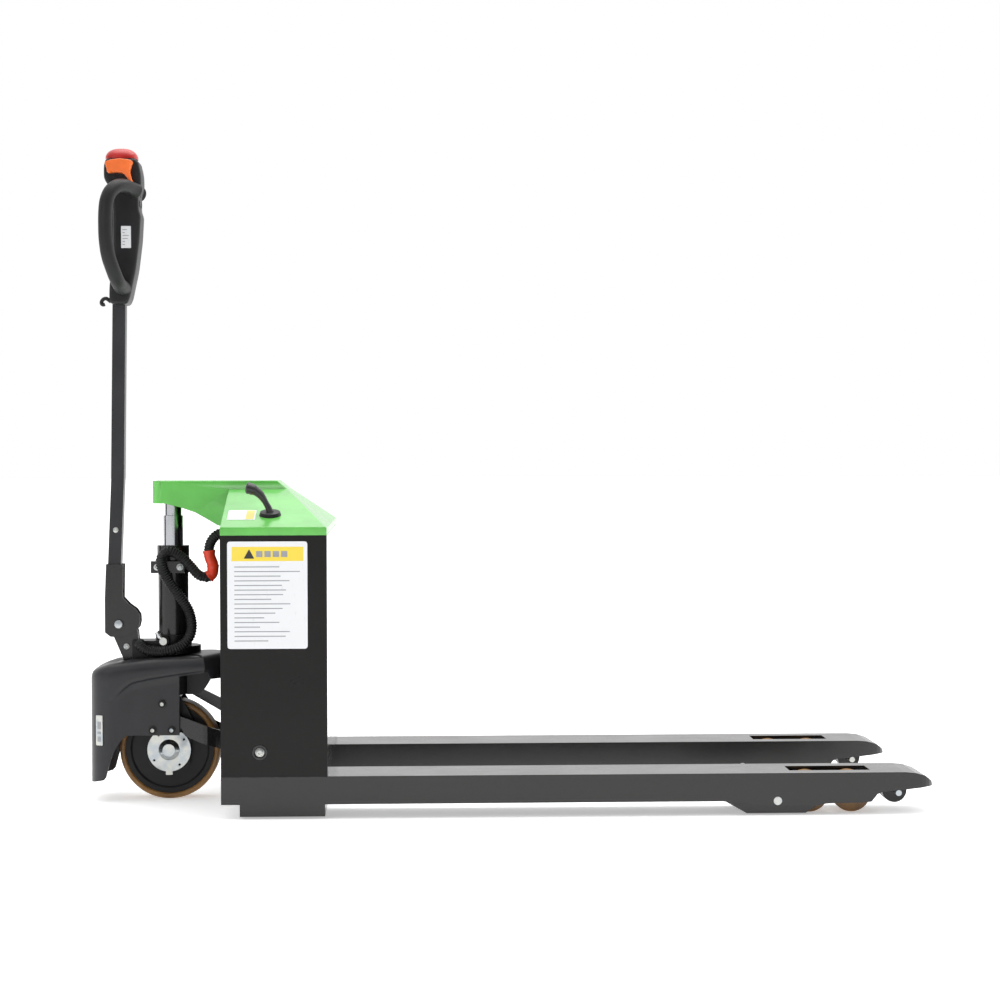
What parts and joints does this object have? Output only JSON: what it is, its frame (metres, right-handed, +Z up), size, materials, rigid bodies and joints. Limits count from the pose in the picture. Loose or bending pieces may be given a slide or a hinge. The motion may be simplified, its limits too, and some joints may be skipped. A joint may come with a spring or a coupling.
{
  "type": "electric pallet truck",
  "caption": "Walk-behind electric pallet truck with two forks, a steered drive wheel under a lift cylinder, a tiller with looped grips and a green hood over its power box.",
  "frame": {"origin": "on the floor, under the middle of the truck", "axes": "+X towards the fork tips, +Y to the left across the forks, +Z up"},
  "size_m": [1.723, 0.685, 1.369],
  "materials": {
    "green_paint": "glossy powder coat",
    "black_paint": "satin powder coat",
    "gloss_black_paint": "glossy powder coat",
    "graphite_paint": "satin powder coat",
    "black_plastic": "fine moulded grain",
    "orange_plastic": "smooth",
    "red_plastic": "smooth",
    "amber_tread": "cast polyurethane",
    "zinc_plate": "bright zinc",
    "hard_chrome": "polished",
    "cast_iron": "painted casting",
    "wheel_black": "satin",
    "bearing_steel": "ground",
    "sleeve_black": "corrugated loom sleeve",
    "sleeve_orange": "moulded",
    "battery_case": "moulded case",
    "roller_black": "nylon"
  },
  "bodies": {
    "swivel": {"swivel_sleeve": "cast_iron", "loom_joint": "sleeve_orange"},
    "drive_unit": {"drive_frame": "black_paint", "mast_base": "black_paint", "lift_cylinder": "black_paint", "cylinder_clamp": "black_paint", "drive_unit_screws": "zinc_plate", "hydraulic_fitting": "zinc_plate", "tiller_lug": "black_paint", "tiller_pin": "zinc_plate", "tiller_spring": "bearing_steel", "drive_cover": "graphite_paint", "motor_flanges": "zinc_plate", "drive_axle": "bearing_steel", "motor_stator": "bearing_steel", "rear_guard": "black_paint", "loom_pump": "sleeve_black"},
    "drive_wheel": {"drive_tyre": "amber_tread", "wheel_hub": "wheel_black", "wheel_bearings": "bearing_steel"},
    "tiller": {"tiller_bracket": "black_paint", "tiller_tube": "graphite_paint", "head_housing": "black_plastic", "grip_left": "black_plastic", "grip_right": "black_plastic"},
    "belly_button": {"belly_button": "red_plastic"},
    "throttle_rocker": {"throttle_rocker": "orange_plastic"},
    "horn_button": {"horn_button": "black_plastic"},
    "lift_button": {"lift_button": "black_plastic"},
    "lower_button": {"lower_button": "black_plastic"},
    "chassis": {"fork_left": "black_paint", "fork_right": "black_paint", "side_plate_left": "black_paint", "side_plate_right": "black_paint", "back_panel": "gloss_black_paint", "front_panel": "black_paint", "base_frame": "black_paint", "hood": "green_paint", "battery": "battery_case", "power_unit": "battery_case", "controller": "black_plastic", "lift_rod": "hard_chrome", "cross_shaft": "zinc_plate", "isolator_base": "black_plastic", "fork_pins": "zinc_plate", "loom_chassis": "sleeve_black"},
    "isolator_key": {"isolator_key": "black_plastic"},
    "rocker": {"rocker": "black_paint"},
    "push_rod_left": {"push_rod_left": "zinc_plate"},
    "push_rod_right": {"push_rod_right": "zinc_plate"},
    "roller_frame_left": {"roller_frame_left": "black_paint"},
    "bogie_left": {"bogie_left": "black_paint"},
    "front_roller_left": {"front_roller_left": "amber_tread"},
    "rear_roller_left": {"rear_roller_left": "amber_tread"},
    "entry_roller_left": {"entry_roller_left": "roller_black"},
    "roller_frame_right": {"roller_frame_right": "black_paint"},
    "bogie_right": {"bogie_right": "black_paint"},
    "front_roller_right": {"front_roller_right": "amber_tread"},
    "rear_roller_right": {"rear_roller_right": "amber_tread"},
    "entry_roller_right": {"entry_roller_right": "roller_black"}
  },
  "joints": [
    {"name": "steer", "type": "hinge", "parent": "swivel", "child": "drive_unit", "pos_m": [-0.6935, 0, 0], "axis": [0, 0, 1], "range_deg": [-90, 90], "deforming": ["loom_pump"]},
    {"name": "lift", "type": "slide", "parent": "swivel", "child": "chassis", "axis": [0, 0, 1], "range_m": [0, 0.115], "deforming": ["loom_chassis"]},
    {"name": "wheel_spin", "type": "hinge", "parent": "drive_unit", "child": "drive_wheel", "pos_m": [-0.6995, 0, 0.105], "axis": [0, 1, 0], "continuous": true},
    {"name": "tiller_tilt", "type": "hinge", "parent": "drive_unit", "child": "tiller", "pos_m": [-0.807, 0, 0.367], "axis": [0, -1, 0], "range_deg": [0, 85], "stiffness_Nm_per_rad": 30, "springref_deg": -28.65},
    {"name": "throttle", "type": "hinge", "parent": "tiller", "child": "throttle_rocker", "pos_m": [-0.803, 0, 1.329], "axis": [0, 1, 0], "range_deg": [-14, 14], "stiffness_Nm_per_rad": 1},
    {"name": "belly_press", "type": "slide", "parent": "tiller", "child": "belly_button", "axis": [0, 0, -1], "range_m": [0, 0.006], "stiffness_N_per_m": 900, "springref_m": -0.004},
    {"name": "horn_press", "type": "slide", "parent": "tiller", "child": "horn_button", "axis": [-1, 0, 0], "range_m": [0, 0.003], "stiffness_N_per_m": 500, "springref_m": -0.001},
    {"name": "lift_press", "type": "slide", "parent": "tiller", "child": "lift_button", "axis": [-1, 0, 0], "range_m": [0, 0.003], "stiffness_N_per_m": 500, "springref_m": -0.001},
    {"name": "lower_press", "type": "slide", "parent": "tiller", "child": "lower_button", "axis": [-1, 0, 0], "range_m": [0, 0.003], "stiffness_N_per_m": 500, "springref_m": -0.001},
    {"name": "isolator_turn", "type": "hinge", "parent": "chassis", "child": "isolator_key", "pos_m": [-0.4745, -0.262, 0.60345], "axis": [0, -0.2574, 0.9663], "range_deg": [0, 90]},
    {"name": "rocker_swing", "type": "hinge", "parent": "chassis", "child": "rocker", "pos_m": [-0.4932, 0, 0.133], "axis": [0, -1, 0], "range_deg": [0, 30.32]},
    {"name": "push_rod_left_slide", "type": "slide", "parent": "chassis", "child": "push_rod_left", "axis": [1, 0, 0], "range_m": [0, 0.04396]},
    {"name": "roller_frame_left_swing", "type": "hinge", "parent": "chassis", "child": "roller_frame_left", "pos_m": [0.5425, 0.2675, 0.029], "axis": [0, 1, 0], "range_deg": [0, 71.96]},
    {"name": "bogie_left_swing", "type": "hinge", "parent": "roller_frame_left", "child": "bogie_left", "pos_m": [0.6555, 0.2675, 0.04], "axis": [0, -1, 0], "range_deg": [0, 71.96]},
    {"name": "front_roller_left_spin", "type": "hinge", "parent": "bogie_left", "child": "front_roller_left", "pos_m": [0.6125, 0.2675, 0.04], "axis": [0, 1, 0], "continuous": true},
    {"name": "rear_roller_left_spin", "type": "hinge", "parent": "bogie_left", "child": "rear_roller_left", "pos_m": [0.6985, 0.2675, 0.04], "axis": [0, 1, 0], "continuous": true},
    {"name": "entry_roller_left_spin", "type": "hinge", "parent": "chassis", "child": "entry_roller_left", "pos_m": [0.7865, 0.2675, 0.043], "axis": [0, 1, 0], "continuous": true},
    {"name": "push_rod_right_slide", "type": "slide", "parent": "chassis", "child": "push_rod_right", "axis": [1, 0, 0], "range_m": [0, 0.04396]},
    {"name": "roller_frame_right_swing", "type": "hinge", "parent": "chassis", "child": "roller_frame_right", "pos_m": [0.5425, -0.2675, 0.029], "axis": [0, 1, 0], "range_deg": [0, 71.96]},
    {"name": "bogie_right_swing", "type": "hinge", "parent": "roller_frame_right", "child": "bogie_right", "pos_m": [0.6555, -0.2675, 0.04], "axis": [0, -1, 0], "range_deg": [0, 71.96]},
    {"name": "front_roller_right_spin", "type": "hinge", "parent": "bogie_right", "child": "front_roller_right", "pos_m": [0.6125, -0.2675, 0.04], "axis": [0, 1, 0], "continuous": true},
    {"name": "rear_roller_right_spin", "type": "hinge", "parent": "bogie_right", "child": "rear_roller_right", "pos_m": [0.6985, -0.2675, 0.04], "axis": [0, 1, 0], "continuous": true},
    {"name": "entry_roller_right_spin", "type": "hinge", "parent": "chassis", "child": "entry_roller_right", "pos_m": [0.7865, -0.2675, 0.043], "axis": [0, 1, 0], "continuous": true}
  ],
  "couplings": [
    {"joint": "rocker_swing", "follows": "lift", "rad_per_m": 4.594},
    {"joint": "push_rod_left_slide", "follows": "lift", "ratio": 0.38143},
    {"joint": "roller_frame_left_swing", "follows": "lift", "rad_per_m": 10.914},
    {"joint": "bogie_left_swing", "follows": "lift", "rad_per_m": 10.914},
    {"joint": "push_rod_right_slide", "follows": "lift", "ratio": 0.38143},
    {"joint": "roller_frame_right_swing", "follows": "lift", "rad_per_m": 10.914},
    {"joint": "bogie_right_swing", "follows": "lift", "rad_per_m": 10.914}
  ]
}
